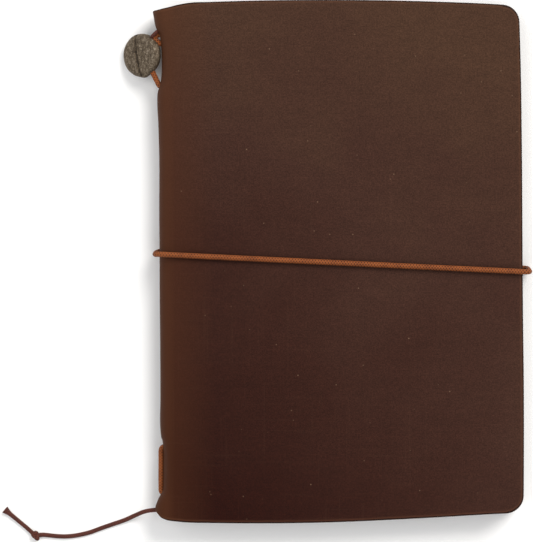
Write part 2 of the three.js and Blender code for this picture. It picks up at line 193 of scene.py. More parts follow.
def make_mesh(name, points, faces, corner_uv=None, point_values=None):
    """A smooth-shaded object from points in millimetres."""
    mesh = bpy.data.meshes.new(name)
    mesh.from_pydata([tuple(p) for p in points * MM], [], faces)
    if corner_uv is not None:
        layer = mesh.uv_layers.new(name="UVMap")
        layer.data.foreach_set("uv", np.asarray(corner_uv, np.float32).ravel())
    for key, values in (point_values or {}).items():
        attribute = mesh.attributes.new(key, "FLOAT", "POINT")
        attribute.data.foreach_set("value", values.astype(np.float32).ravel())
    mesh.polygons.foreach_set("use_smooth", [True] * len(mesh.polygons))
    mesh.set_sharp_from_angle(angle=math.radians(48))
    piece = bpy.data.objects.new(name, mesh)
    bpy.context.scene.collection.objects.link(piece)
    return piece


def closed_sheet(name, upper, lower, flip=False, uv=None, values=None):
    """A closed mesh between two grids of points, whose rows run tail to head."""
    rows, columns = upper.shape[:2]
    top = np.arange(rows * columns).reshape(rows, columns)
    under = top + rows * columns

    def quads(a, b, c, d):
        return np.stack([a.ravel(), b.ravel(), c.ravel(), d.ravel()], axis=1)

    faces = np.vstack(
        [
            quads(top[:-1, :-1], top[:-1, 1:], top[1:, 1:], top[1:, :-1]),
            quads(under[:-1, :-1], under[1:, :-1], under[1:, 1:], under[:-1, 1:]),
            quads(under[0, :-1], under[0, 1:], top[0, 1:], top[0, :-1]),
            quads(under[-1, 1:], under[-1, :-1], top[-1, :-1], top[-1, 1:]),
            quads(under[1:, 0], under[:-1, 0], top[:-1, 0], top[1:, 0]),
            quads(under[:-1, -1], under[1:, -1], top[1:, -1], top[:-1, -1]),
        ]
    )
    if flip:
        faces = faces[:, ::-1]
    points = np.concatenate([upper.reshape(-1, 3), lower.reshape(-1, 3)])
    corner_uv = None
    if uv is not None:
        corner_uv = np.concatenate([uv.reshape(-1, 2)] * 2)[faces.ravel()]
    return make_mesh(name, points, faces.tolist(), corner_uv, values)


def rope(name, line, diameter, step=0.2, sides=12, swell=None, ribs=0.0, pitch=0.9, closed=False):
    """A woven tube along the line, and the line itself with even steps.

    `swell` gives its relative width by the share of the way along, and `ribs` how far the ribs stand proud.
    """
    line, along = evenly(np.array(line, float), step)
    if closed:
        line, along = line[:-1], along[:-1]
        tangent = np.roll(line, -1, axis=0) - np.roll(line, 1, axis=0)
    else:
        tangent = np.gradient(line, axis=0)
    tangent /= np.linalg.norm(tangent, axis=1)[:, None]
    across = np.cross(tangent[0], (0.31, 0.17, 0.94))
    frames = []
    for t in tangent:
        across = across - t * (across @ t)
        across /= np.linalg.norm(across)
        frames.append((across, np.cross(t, across)))
    angle = 2 * math.pi * np.arange(sides) / sides
    rings = []
    for (side, up), middle, length in zip(frames, line, along):
        radius = diameter / 2 * (swell(length / along[-1]) if swell else 1.0)
        twist = 2 * math.pi * length / pitch
        reach = radius + ribs * np.cos(twist + 2 * angle) * np.cos(twist - 2 * angle)
        rings.append(middle + np.outer(reach * np.cos(angle), side) + np.outer(reach * np.sin(angle), up))
    points = np.concatenate(rings)
    faces, corner_uv = [], []
    count = len(rings)
    for i in range(count if closed else count - 1):
        j = (i + 1) % count
        u0, u1 = along[i] * MM, (along[i] + step) * MM
        for k in range(sides):
            m = (k + 1) % sides
            faces.append((i * sides + k, i * sides + m, j * sides + m, j * sides + k))
            v0, v1 = k / sides * MM, (k + 1) / sides * MM
            corner_uv += [(u0, v0), (u0, v1), (u1, v1), (u1, v0)]
    if not closed:
        faces.append(tuple(range(sides))[::-1])
        faces.append(tuple((count - 1) * sides + k for k in range(sides)))
        corner_uv += [(0, k / sides * MM) for k in range(sides)] * 2
    return make_mesh(name, points, faces, corner_uv), line


def tipped(points, degrees, a, b):
    """The points turned round the origin, from axis a towards axis b."""
    cos, sin = math.cos(math.radians(degrees)), math.sin(math.radians(degrees))
    turned = points.copy()
    turned[:, a] = points[:, a] * cos - points[:, b] * sin
    turned[:, b] = points[:, a] * sin + points[:, b] * cos
    return turned


def finish_piece(piece, material, slot, *nodes):
    """Gives the piece its material, and hides the CAD nodes that it stands for. The slot is not used."""
    piece.data.materials.clear()
    piece.data.materials.append(material)
    if nodes:
        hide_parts(*nodes)
    return piece


# ---------------------------------------------------------------- materials


def add(tree, kind, settings=None, **inputs):
    """A shader node. Inputs are sockets or values, by name with _ for a space, or by number as _0."""
    made = tree.nodes.new("ShaderNode" + kind)
    for key, value in (settings or {}).items():
        setattr(made, key, value)
    for key, value in inputs.items():
        socket = made.inputs[int(key[1:])] if key[0] == "_" else made.inputs[key.replace("_", " ")]
        if isinstance(value, bpy.types.NodeSocket):
            tree.links.new(value, socket)
        else:
            socket.default_value = value
    return made


def maths(tree, operation, a, b=0.0, clamp=False):
    return add(tree, "Math", {"operation": operation, "use_clamp": clamp}, _0=a, _1=b).outputs[0]


def plus(tree, a, b, clamp=False):
    return maths(tree, "ADD", a, b, clamp)


def minus(tree, a, b, clamp=False):
    return maths(tree, "SUBTRACT", a, b, clamp)


def times(tree, a, b):
    return maths(tree, "MULTIPLY", a, b)


def ramp(tree, factor, *stops):
    """A colour ramp through the (place, value) stops, where a value is a grey or a colour."""
    made = add(tree, "ValToRGB", Fac=factor)
    points = made.color_ramp.elements
    while len(points) < len(stops):
        points.new(0.5)
    for point, (place, value) in zip(points, stops):
        point.position = place
        point.color = (value,) * 3 + (1,) if isinstance(value, (int, float)) else tuple(value) + (1,)
    return made.outputs[0]


def mix(tree, factor, a, b, blend="MIX"):
    """Colour b laid over colour a, by the factor from 0 to 1."""
    colours = [c if isinstance(c, bpy.types.NodeSocket) else tuple(c) + (1,) for c in (a, b)]
    made = add(tree, "MixRGB", {"blend_type": blend}, Fac=factor, Color1=colours[0], Color2=colours[1])
    return made.outputs[0]


def noise(tree, where, scale, detail=4.0, roughness=0.5):
    """Noise with about `scale` spots to the metre."""
    return add(tree, "TexNoise", Vector=where, Scale=scale, Detail=detail, Roughness=roughness).outputs[0]


def stretched(tree, where, x, y, z=1.0):
    return add(tree, "VectorMath", {"operation": "MULTIPLY"}, _0=where, _1=(x, y, z)).outputs[0]


def new_material(name, roughness, **values):
    made = bpy.data.materials.new(name)
    made.use_nodes = True
    tree = made.node_tree
    shader = tree.nodes["Principled BSDF"]
    shader.inputs["Roughness"].default_value = roughness
    for key, value in values.items():
        shader.inputs[key.replace("_", " ")].default_value = value
    return made, tree, shader


def put(tree, shader, colour=None, roughness=None, height=None, strength=0.4, distance=0.0001):
    """Joins what was worked out to the shader; the bump is `distance` metres deep."""
    if colour is not None:
        tree.links.new(colour, shader.inputs["Base Color"])
    if roughness is not None:
        tree.links.new(roughness, shader.inputs["Roughness"])
    if height is not None:
        bump = add(tree, "Bump", Height=height, Strength=strength, Distance=distance)
        tree.links.new(bump.outputs[0], shader.inputs["Normal"])


def leather_material():
    """Waxed cowhide: mottled brown, darker at its cut edges, redder round the spine, suede inside. Painted
    light makes it lighter towards the head and the fore edge, with a painted highlight down the middle of the
    spine.
    """
    made, tree, shader = new_material("leather", 0.6, Specular_IOR_Level=0.06)
    sheet = add(tree, "UVMap", {"uv_map": "UVMap"}).outputs[0]
    place = add(tree, "SeparateXYZ", _0=sheet)
    round_way, height = place.outputs[0], place.outputs[1]
    rim = add(tree, "Attribute", {"attribute_name": "rim"}).outputs["Fac"]
    depth = add(tree, "Attribute", {"attribute_name": "depth"}).outputs["Fac"]

    cloud = noise(tree, sheet, 26, 3)
    mottle = noise(tree, stretched(tree, sheet, 1, 1.6), 190, 6, 0.6)
    pores = noise(tree, sheet, 2600, 3, 0.6)
    hide = noise(tree, sheet, 900, 5, 0.65)

    # painted light: lighter towards the head and the fore edge and darker towards the tail and the spine, as
    # the light from the head and fore edge falls, with random patches of tone on top
    across = maths(tree, "ABSOLUTE", round_way)
    painted_light_slope = plus(tree, times(tree, across, -62), 8.3)
    painted_light_and_patches = plus(tree, times(tree, across, 4.3), 0.43)
    painted_light_and_patches = plus(tree, painted_light_and_patches, times(tree, height, painted_light_slope))
    patches = times(tree, minus(tree, cloud, 0.5), 0.5)
    painted_light_and_patches = plus(tree, painted_light_and_patches, patches, clamp=True)
    colour = ramp(
        tree,
        painted_light_and_patches,
        (0.0, (0.0180, 0.0032, 0.0016)),
        (0.45, (0.031, 0.0100, 0.0064)),
        (0.75, (0.044, 0.0182, 0.0122)),
        (1.0, (0.058, 0.0275, 0.0160)),
    )
    for grain, dark, light in (
        (mottle, (0.3, 0.92), (0.72, 1.08)),
        (hide, (0.34, 0.88), (0.68, 1.10)),
        (pores, (0.38, 0.78), (0.64, 1.22)),
    ):
        colour = mix(tree, 1.0, colour, ramp(tree, grain, dark, light), "MULTIPLY")

    # the bend has pulled the wax redder, and the spine's middle, which faces the light from the left, has a
    # painted highlight
    bend = ramp(tree, times(tree, across, 60), (0.0, 1.0), (0.28, 0.85), (1.0, 0.0))
    colour = mix(tree, times(tree, bend, 0.55), colour, (0.060, 0.0185, 0.0065))
    painted_spine_highlight = ramp(tree, times(tree, across, 160), (0.0, 0.75), (0.62, 0.5), (1.0, 0.0))
    colour = mix(tree, times(tree, painted_spine_highlight, 0.5), colour, (0.098, 0.036, 0.015))

    # hairline scratches along and across, and small pale specks
    for x, y in ((1500, 34), (40, 1300)):
        lines = noise(tree, stretched(tree, sheet, x, y), 1.0, 2)
        hair = ramp(tree, lines, (0.6, 0.0), (0.75, 1.0))
        colour = mix(tree, times(tree, hair, 0.045), colour, (0.12, 0.06, 0.035))
    dots = add(tree, "TexVoronoi", Vector=sheet, Scale=340).outputs["Distance"]
    chosen = ramp(tree, noise(tree, sheet, 230, 1), (0.52, 0.0), (0.62, 1.0))
    speck = times(tree, ramp(tree, dots, (0.03, 1.0), (0.075, 0.0)), chosen)
    colour = mix(tree, times(tree, speck, 0.5), colour, (0.26, 0.16, 0.1))

    # a thin dark burnished line at the cut edge, with a worn pale line just inside it
    uneven = plus(tree, rim, times(tree, minus(tree, mottle, 0.5), 0.5))
    half = times(tree, uneven, 0.5)
    worn = ramp(tree, half, (0.16, 0.0), (0.25, 0.7), (0.33, 0.35), (0.5, 0.0))
    colour = mix(tree, times(tree, worn, 0.42), colour, (0.13, 0.055, 0.028))
    burnt = ramp(tree, half, (0.1, 1.0), (0.22, 0.0))
    colour = mix(tree, times(tree, burnt, 0.85), colour, (0.016, 0.0062, 0.0035))

    # the flesh side is paler and rough
    inner = ramp(tree, times(tree, depth, 0.5), (0.8, 0.0), (0.96, 1.0))
    fibres = noise(tree, sheet, 1400, 6, 0.7)
    nap = ramp(tree, fibres, (0.3, (0.05, 0.024, 0.014)), (0.75, (0.125, 0.066, 0.038)))
    colour = mix(tree, inner, colour, nap)

    wax = plus(tree, times(tree, mottle, 0.6), times(tree, burnt, -0.2))
    rough = mix(tree, inner, ramp(tree, wax, (0.0, 0.5), (0.6, 0.68)), (0.95, 0.95, 0.95))
    relief = plus(tree, times(tree, pores, 0.55), times(tree, hide, 0.8))
    put(tree, shader, colour, rough, relief, 0.35, 0.00012)
    return made


def woven_material(name, dark, light, ribs_per_mm, diameter):
    """A woven or braided cover: crossing helical threads, by distance along and share of the way around."""
    made, tree, shader = new_material(name, 0.78, Specular_IOR_Level=0.3)
    way = add(tree, "SeparateXYZ", _0=add(tree, "UVMap", {"uv_map": "UVMap"}).outputs[0])
    along = times(tree, way.outputs[0], 1000 * ribs_per_mm * 2 * math.pi)
    around = times(tree, way.outputs[1], 1000 * 4 * 2 * math.pi)
    one = maths(tree, "SINE", plus(tree, along, around))
    other = maths(tree, "SINE", minus(tree, along, around))
    weave = maths(tree, "MAXIMUM", one, other)
    threads = maths(tree, "SINE", times(tree, along, 3.0))
    height = plus(tree, times(tree, weave, 0.5), times(tree, threads, 0.16))
    where = add(tree, "TexCoord").outputs["Object"]
    dirt = noise(tree, where, 420, 4)
    # painted shade in the hollows of the weave, with random dirt over it
    shade = plus(tree, times(tree, weave, 0.33), times(tree, dirt, 0.6))
    colour = ramp(tree, shade, (0.05, dark), (0.62, light))
    put(tree, shader, colour, None, height, 0.7, 0.00008 * diameter)
    return made


def tin_material():
    """Antiqued tin: pitted, brown in its hollows and paler on its high spots."""
    made, tree, shader = new_material("tin", 0.5, Metallic=0.65)
    where = add(tree, "TexCoord").outputs["Object"]
    pits = noise(tree, where, 3000, 5, 0.75)
    coarse = noise(tree, where, 1300, 4, 0.6)
    brushed = noise(tree, stretched(tree, where, 2600, 700, 1300), 1.0, 3)
    tone = plus(tree, times(tree, pits, 0.65), times(tree, coarse, 0.35))
    tone = plus(tree, times(tree, tone, 0.75), times(tree, brushed, 0.25))
    hollow = add(tree, "Attribute", {"attribute_name": "hollow"}).outputs["Fac"]
    tone = minus(tree, tone, times(tree, hollow, 0.13), clamp=True)
    colour = ramp(
        tree, tone, (0.36, (0.022, 0.014, 0.008)), (0.5, (0.105, 0.076, 0.048)), (0.64, (0.32, 0.265, 0.20))
    )
    rough = ramp(tree, tone, (0.3, 0.75), (0.7, 0.42))
    put(tree, shader, colour, rough, tone, 0.8, 0.0003)
    return made


def card_material():
    made, tree, shader = new_material("kraft_card", 0.9, Specular_IOR_Level=0.2)
    where = add(tree, "TexCoord").outputs["Object"]
    fibres = noise(tree, stretched(tree, where, 700, 2600, 2600), 1.0, 5, 0.7)
    clouds = noise(tree, where, 120, 4)
    tone = plus(tree, times(tree, fibres, 0.7), times(tree, clouds, 0.3))
    colour = ramp(tree, tone, (0.3, (0.27, 0.155, 0.07)), (0.7, (0.5, 0.33, 0.17)))
    put(tree, shader, colour, None, fibres, 0.25, 0.00005)
    return made


def paper_material():
    """Cream paper: the edges of the sheets show as fine lines through the thickness of the block, the dark
    ones painted shade in the gaps between the sheets.
    """
    made, tree, shader = new_material("paper", 0.95, Specular_IOR_Level=0.15)
    sheets = add(tree, "Attribute", {"attribute_name": "sheets"}).outputs["Fac"]
    # the dark lines are painted shade in the gaps between the sheets
    edges = maths(tree, "SINE", times(tree, sheets, 2 * math.pi * 16))
    where = add(tree, "TexCoord").outputs["Object"]
    tooth = noise(tree, where, 1800, 4, 0.6)
    tone = plus(tree, times(tree, edges, 0.28), times(tree, tooth, 0.5))
    colour = ramp(tree, tone, (0.0, (0.56, 0.49, 0.38)), (0.5, (0.70, 0.65, 0.55)))
    put(tree, shader, colour, None, plus(tree, tone, edges), 0.3, 0.00005)
    return made


def wire_material():
    made, tree, shader = new_material("staple_wire", 0.32, Metallic=1.0)
    where = add(tree, "TexCoord").outputs["Object"]
    drawn = noise(tree, where, 2400, 3)
    put(tree, shader, ramp(tree, drawn, (0.3, 0.42), (0.7, 0.6)), ramp(tree, drawn, (0.3, 0.24), (0.7, 0.4)))
    return made


# ---------------------------------------------------------------- the leather

# Ends of the sheet, by the way round from the middle of the spine
head_end = smooth(
    [
        (0, 64.85), (1.7, 64.95), (3.4, 65.35), (6.75, 66.2), (10, 66.75), (15, 66.95),
        (76, 66.95), (88, 66.45), (92, 66.2), (FORE, 66.0),
    ]
)
tail_end = smooth(
    [
        (0, -64.3), (1.5, -64.9), (2.4, -65.7), (3.4, -66.15), (6.75, -66.7), (10, -66.95), (15, -67.05),
        (42, -67.0), (70, -65.8), (88, -64.75), (FORE, -64.4),
    ]
)
# How far the spine stands out from the plain bend: drawn in by each elastic, flared beyond them
spine_bulge = smooth(
    [
        (65, 2.2), (63, 1.8), (61, 1.45), (60.3, 1.2), (59.7, 0.8), (59, 0.5), (57, 0.08), (54, -0.13),
        (48, -0.13), (46.3, 0.1), (45.2, 0.42), (43.8, 0.82), (41.5, 0.92), (36, 0.68), (28, 0.45),
        (10, 0.42), (3, 0.35), (-10, 0.3), (-20, 0.2), (-35, 0.12), (-43.5, 0.1), (-45.2, -0.1),
        (-46.4, -0.5), (-48, -0.57), (-56, -0.57), (-58.2, -0.5), (-59.4, -0.2), (-60.4, 0.4),
        (-61.7, 0.95), (-63.2, 1.45), (-64.6, 1.4),
    ]
)
# How far the fore edge stands out from a straight line
fore_shift = smooth(
    [
        (67, -0.75), (62, -0.55), (50, -0.2), (30, 0.08), (-10, 0.34),
        (-35, 0.6), (-50, 0.6), (-60, 0.55), (-67, 0.5),
    ]
)


def band_y(x, left_y):
    """The closure band's front and back runs cross the covers at a slant."""
    return left_y + (BAND_RIGHT_Y - left_y) * (x - BAND_LEFT) / (BAND_RIGHT - BAND_LEFT)


def leather_point(way, y, depth, side):
    """Where a point of the sheet lies.

    It is `way` round from the middle of the spine and `depth` in from the outer face, on the front half
    for side 1 and the back half for side -1.
    """
    angle = np.minimum(way / ARC_R, math.pi / 2)
    flat = np.maximum(way - QUARTER, 0)
    radius = ARC_R - depth + spine_bulge(y) * np.cos(angle) ** 2
    x = ARC_X - radius * np.cos(angle) + flat + fore_shift(y) * (flat / (FORE - QUARTER)) ** 2
    z = radius * np.sin(angle)
    if side > 0:  # the front cover isn't quite flat
        z = z + 0.1 * np.sin(x / 19 + 1.3) * np.sin(y / 27 + 0.6) * np.minimum(flat / 12, 1)
    off_band = y - band_y(x, BAND_FRONT_HOLE if side > 0 else BAND_BACK_HOLE)
    pressed = PRESS_DEPTH * np.exp(-((off_band / PRESS_WIDTH) ** 2)) * np.minimum(flat / 3, 1)
    return np.stack([x, y, ARC_Z + side * (z - pressed)], axis=-1)


def leather_piece(name, side, ways, has_fore):
    """One closed length of the sheet, between two cuts across it."""
    ways = np.array(ways, float)
    head, tail = head_end(ways), tail_end(ways)
    from_fore = FORE - ways
    if has_fore:
        for radius, end, sign in ((HEAD_RADIUS, head, -1), (TAIL_RADIUS, tail, 1)):
            missing = np.maximum(radius - from_fore, 0)
            end += sign * (radius - np.sqrt(radius**2 - missing**2))
    near = np.array([[0, 0.04, 0.12, 0.25, 0.42, 0.65, 1.0, 1.6, 2.4]]).T  # close rows for the rounded edge
    zone = 3.3
    share = np.linspace(0, 1, 108)[:, None]
    between = (tail + zone) * (1 - share) + (head - zone) * share
    y = np.vstack([tail + near, between, head - near[::-1]])
    way = np.broadcast_to(ways, y.shape)

    rim = np.minimum(head - y, y - tail)
    if has_fore:
        fore = np.broadcast_to(from_fore, y.shape)
        rim = np.minimum(rim, fore)
        for radius, middle_y, sign in (
            (HEAD_RADIUS, head_end(FORE) - HEAD_RADIUS, 1),
            (TAIL_RADIUS, tail_end(FORE) + TAIL_RADIUS, -1),
        ):
            in_corner = (fore < radius) & (sign * (y - middle_y) > 0)
            to_arc = radius - np.hypot(radius - fore, y - middle_y)
            rim = np.where(in_corner, np.maximum(to_arc, 0), rim)
    off_edge = 1 - np.clip(rim / EDGE_ROUND, 0, 1)
    drop = EDGE_DROP * (1 - np.sqrt(1 - off_edge**2))
    upper = leather_point(way, y, drop, side)
    lower = leather_point(way, y, LEATHER - drop, side)
    uv = np.stack([side * way, y], axis=-1) * MM
    values = {
        "rim": np.concatenate([rim.ravel()] * 2),
        "depth": np.concatenate([drop.ravel(), LEATHER - drop.ravel()]),
    }
    return closed_sheet(name, upper, lower, flip=side < 0, uv=uv, values=values)


def punch_holes(piece):
    """Cuts the spine's holes for the elastics and the cord."""
    for y, length, height in HOLES:
        line = [(-47, y, MIDDLE), (-39, y, MIDDLE)]
        tool, _ = rope("punch", line, 1.0, step=2.0, sides=24)
        for vertex in tool.data.vertices:
            vertex.co.y = y * MM + (vertex.co.y - y * MM) * length
            vertex.co.z = MIDDLE * MM + (vertex.co.z - MIDDLE * MM) * height
        cutter = piece.modifiers.new("punch", "BOOLEAN")
        cutter.object = tool
        cutter.solver = "EXACT"
        bpy.context.view_layer.update()
        cut = bpy.data.meshes.new_from_object(piece.evaluated_get(bpy.context.evaluated_depsgraph_get()))
        piece.modifiers.clear()
        piece.data = cut
        bpy.data.objects.remove(tool)


def hinge_blend(piece, a, b, side, angle):
    """Works out the way onward across a hinge line, `angle` degrees round from the middle of the spine, and
    bakes the piece's place into its mesh.
    """
    turn = math.radians(angle)
    onward = np.array([math.sin(turn), 0, side * math.cos(turn)])
    if side < 0:
        onward = -onward
    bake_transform(piece)


def make_leather():
    material = leather_material()
    ends = [0, 0.03, 0.1, 0.25]
    bend = ends + list(np.linspace(0.45, EIGHTH - 0.45, 9)) + [EIGHTH - v for v in ends[::-1]]
    bend = [round(v, 4) for v in bend]
    far_bend = [EIGHTH + v for v in bend]
    near_flat = list(np.linspace(QUARTER + 0.35, QUARTER + 4, 8))
    flat = list(np.linspace(QUARTER + 5.2, FORE - 4.6, 52))
    fore = [FORE - v for v in (3.9, 3.2, 2.5, 1.9, 1.4, 1.0, 0.65, 0.42, 0.25, 0.12, 0.04, 0.0)]
    cover = far_bend + near_flat + flat + fore
    for name, side, ways, bodies, angle, node in (
        ("leather_back", -1, cover, ("back", "spine_back"), 67.5, "back_cover"),
        ("leather_spine_back", -1, bend, ("spine_back", "spine_middle"), 22.5, "spine_strip_back"),
        ("leather_spine_front", 1, bend, ("spine_middle", "spine_front"), 22.5, "spine_strip_front"),
        ("leather_front", 1, cover, ("spine_front", "front"), 67.5, "front_cover"),
    ):
        piece = leather_piece(name, side, ways, has_fore=ways is cover)
        if ways is bend:
            punch_holes(piece)
        finish_piece(piece, material, "leather", node)
        hinge_blend(piece, *bodies, side, angle)
    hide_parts("spine_strip_middle")


# ---------------------------------------------------------------- elastics


def knot_line(centre, size, lean=0):
    """A closed trefoil, which reads as a tight overhand knot once it has its thickness."""
    t = np.linspace(0, 2 * math.pi, 121)
    loop = np.stack([np.sin(t) + 2 * np.sin(2 * t), np.cos(t) - 2 * np.cos(2 * t), -np.sin(3 * t)], axis=1)
    loop *= np.array(size) / np.abs(loop).max(axis=0)
    return tipped(loop, lean, 0, 1) + np.array(centre)


def spine_elastic(woven):
    """Down the middle of the booklet, out along the tail of the spine, and back behind the booklet."""
    channel = -39.85  # between the spine's leather and the booklet
    outer = -42.8  # along the outside of the spine
    behind, below = -39.25, MIDDLE - 1.5  # behind the booklet's fold
    over_x, over_z = -39.35, MIDDLE - 0.8  # up over the booklet's head
    line = [
        (OUTSIDE, 58.4, MIDDLE),
        (-40.75, 58.4, MIDDLE),
        (over_x, 58.4, over_z),
        (over_x, 63.8, over_z),
        (FOLD_X, 63.8, MIDDLE),
        (FOLD_X, -62.2, MIDDLE),
        (channel, -62.2, MIDDLE),
        (channel, -59.7, MIDDLE),
        (outer, -59.7, MIDDLE),
        (outer, -47.5, MIDDLE),
        (channel, -47.5, MIDDLE),
        (behind, -42.5, below),
        (behind, 41.3, below),
        (channel, 45.3, MIDDLE),
        (OUTSIDE, 45.3, MIDDLE),
    ]
    piece, _ = rope("elastic_spine", rounded(line, 1.3), ELASTIC, ribs=0.03)
    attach(finish_piece(piece, woven, "elastic", "spine_elastic"), "spine_middle")


def clasp_elastic(woven):
    """Out of the head hole, through the clasp, and in again below it."""
    x = CLASP_AT[0] + CLASP_CHANNEL * math.cos(CLASP_TILT)
    z = CLASP_AT[2] + CLASP_CHANNEL * math.sin(CLASP_TILT)
    line = [
        (OUTSIDE, 58.9, MIDDLE),
        (-43.4, 58.8, MIDDLE),
        (-44.9, 57.9, MIDDLE - 0.15),
        (x, 55.6, z),
        (x, 51.0, z),
        (-45.0, 49.1, MIDDLE - 0.3),
        (-43.3, 45.6, MIDDLE),
        (OUTSIDE, 45.3, MIDDLE),
    ]
    piece, _ = rope("elastic_clasp", rounded(line, 0.9), ELASTIC, ribs=0.03)
    finish_piece(piece, woven, "elastic", "clasp_elastic")
    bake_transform(piece)


def elastic_end(woven):
    """The short end that comes back from the clasp's elastic to the spine, below the head hole."""
    line = [(OUTSIDE, 56.3, MIDDLE + 0.1), (-43.3, 56.6, MIDDLE + 0.2), (-45.0, 58.15, MIDDLE + 0.1)]
    piece, _ = rope("elastic_end", flowing(line), ELASTIC, ribs=0.03)
    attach(finish_piece(piece, woven, "elastic", "spine_elastic"), "spine_middle")


def closure_band(woven):
    """A loop out of the spine, over the front, round the fore edge and back under the back cover."""
    inside = -40.8
    flank = -41.35  # where it leaves the covers for the spine
    upper, lower = MIDDLE + STRANDS_APART, MIDDLE - STRANDS_APART
    lower_y = BAND_FRONT_HOLE + 0.1
    loop = [
        (inside, BAND_FRONT_HOLE, upper),
        (BAND_LEFT, BAND_FRONT_HOLE, upper),
        (BAND_LEFT, BAND_FRONT_HOLE, MIDDLE + 3.0),
        (flank, band_y(flank, BAND_FRONT_HOLE), BAND_OVER),
        (BAND_RIGHT, BAND_RIGHT_Y, BAND_OVER),
        (BAND_RIGHT, BAND_RIGHT_Y + 0.9, BAND_UNDER),
        (flank, band_y(flank, BAND_BACK_HOLE), BAND_UNDER),
        (BAND_LEFT, BAND_FRONT_HOLE + 0.3, MIDDLE - 2.6),
        (BAND_LEFT, lower_y, lower),
        (inside, lower_y, lower),
    ]
    piece, _ = rope("closure_band", rounded(loop, 1.9), ELASTIC, ribs=0.03, sides=14)
    nodes = ("closure_band_front_run", "closure_band_side_run", "closure_band_back_run")
    finish_piece(piece, woven, "elastic", *nodes)
    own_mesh(piece)
    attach(piece, "back")

    knot = knot_line(centre=(-39.75, 2.9, 6.2), size=(0.45, 1.7, 0.75))
    piece, _ = rope("band_knot", knot, 1.1, closed=True, ribs=0.02)
    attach(finish_piece(piece, woven, "elastic", "closure_band_knot"), "spine_middle")


def make_elastics():
    woven = woven_material("elastic", (0.045, 0.008, 0.002), (0.255, 0.069, 0.014), 1.35, ELASTIC)
    spine_elastic(woven)
    clasp_elastic(woven)
    elastic_end(woven)
    closure_band(woven)


# ---------------------------------------------------------------- the clasp


def clasp_relief(x, y, on_front):
    """How far the clasp's face stands out at (x, y), and how much of the seam's hollow is there."""
    pits = CLASP_PITS * np.sin(5.3 * x + 2 * np.sin(3.1 * y)) * np.sin(4.7 * y + 2 * np.sin(2.9 * x))
    if not on_front:
        return pits, 0 * x
    share = y / CLASP_RADIUS
    off_seam = x - (-0.85 - 0.95 * share + 0.55 * share**2)
    groove = np.exp(-((off_seam / SEAM_WIDTH) ** 2))
    ridge = np.exp(-(((off_seam + 0.5) / SEAM_WIDTH) ** 2))
    step = 1 / (1 + np.exp(-off_seam / SEAM_WIDTH))
    return pits - SEAM_GROOVE * groove + SEAM_RIDGE * ridge - SEAM_STEP * step, groove


def make_clasp():
    """A domed disc of tin folded over the elastic, with a seam across its front and a lip at its foot."""
    around, rings = 128, 40
    angle = 2 * math.pi * np.arange(around) / around
    lip = 1 + LIP * np.exp(-(((angle - LIP_TURN) / 0.2) ** 2))
    uneven = 1 + 0.006 * np.sin(3 * angle + 1) + 0.004 * np.sin(7 * angle)
    inner = CLASP_RADIUS - CLASP_HALF
    profile = [(inner * i / rings, -CLASP_HALF) for i in range(1, rings)]
    for turn in np.linspace(-math.pi / 2, math.pi / 2, 15):
        profile.append((inner + CLASP_HALF * math.cos(turn), CLASP_HALF * math.sin(turn)))
    profile += [(inner * i / rings, CLASP_HALF) for i in range(rings - 1, 0, -1)]
    points, hollow = [], []
    for radius, height in profile:
        reach = radius * (1 + (lip * uneven - 1) * (radius / CLASP_RADIUS) ** 6)
        x, y = reach * np.cos(angle), reach * np.sin(angle)
        relief, groove = clasp_relief(x, y, height > 0)
        dome = CLASP_DOME * (1 - (radius / CLASP_RADIUS) ** 2) * np.sign(height)
        points.append(np.stack([x, y, height + (dome + relief) * abs(height) / CLASP_HALF], axis=1))
        hollow.append(groove)
    middles = [(0, 0, -CLASP_HALF - CLASP_DOME), (0, 0, CLASP_HALF - 0.02)]
    flat = np.concatenate(points + [middles])
    turned = tipped(flat, CLASP_TILT_DEGREES, 0, 2)
    faces = []
    low, high = len(flat) - 2, len(flat) - 1
    last = (len(profile) - 1) * around
    for k in range(around):
        m = (k + 1) % around
        for ring in range(0, last, around):
            faces.append((ring + k, ring + m, ring + around + m, ring + around + k))
        faces.append((low, m, k))
        faces.append((high, last + k, last + m))
    values = {"hollow": np.concatenate(hollow + [np.zeros(2)])}
    piece = make_mesh("clasp_tin", turned + np.array(CLASP_SEEN_AT), faces, point_values=values)
    finish_piece(piece, tin_material(), "tin", "clasp_disc")
    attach(piece, "clasp")


# ---------------------------------------------------------------- the bookmark


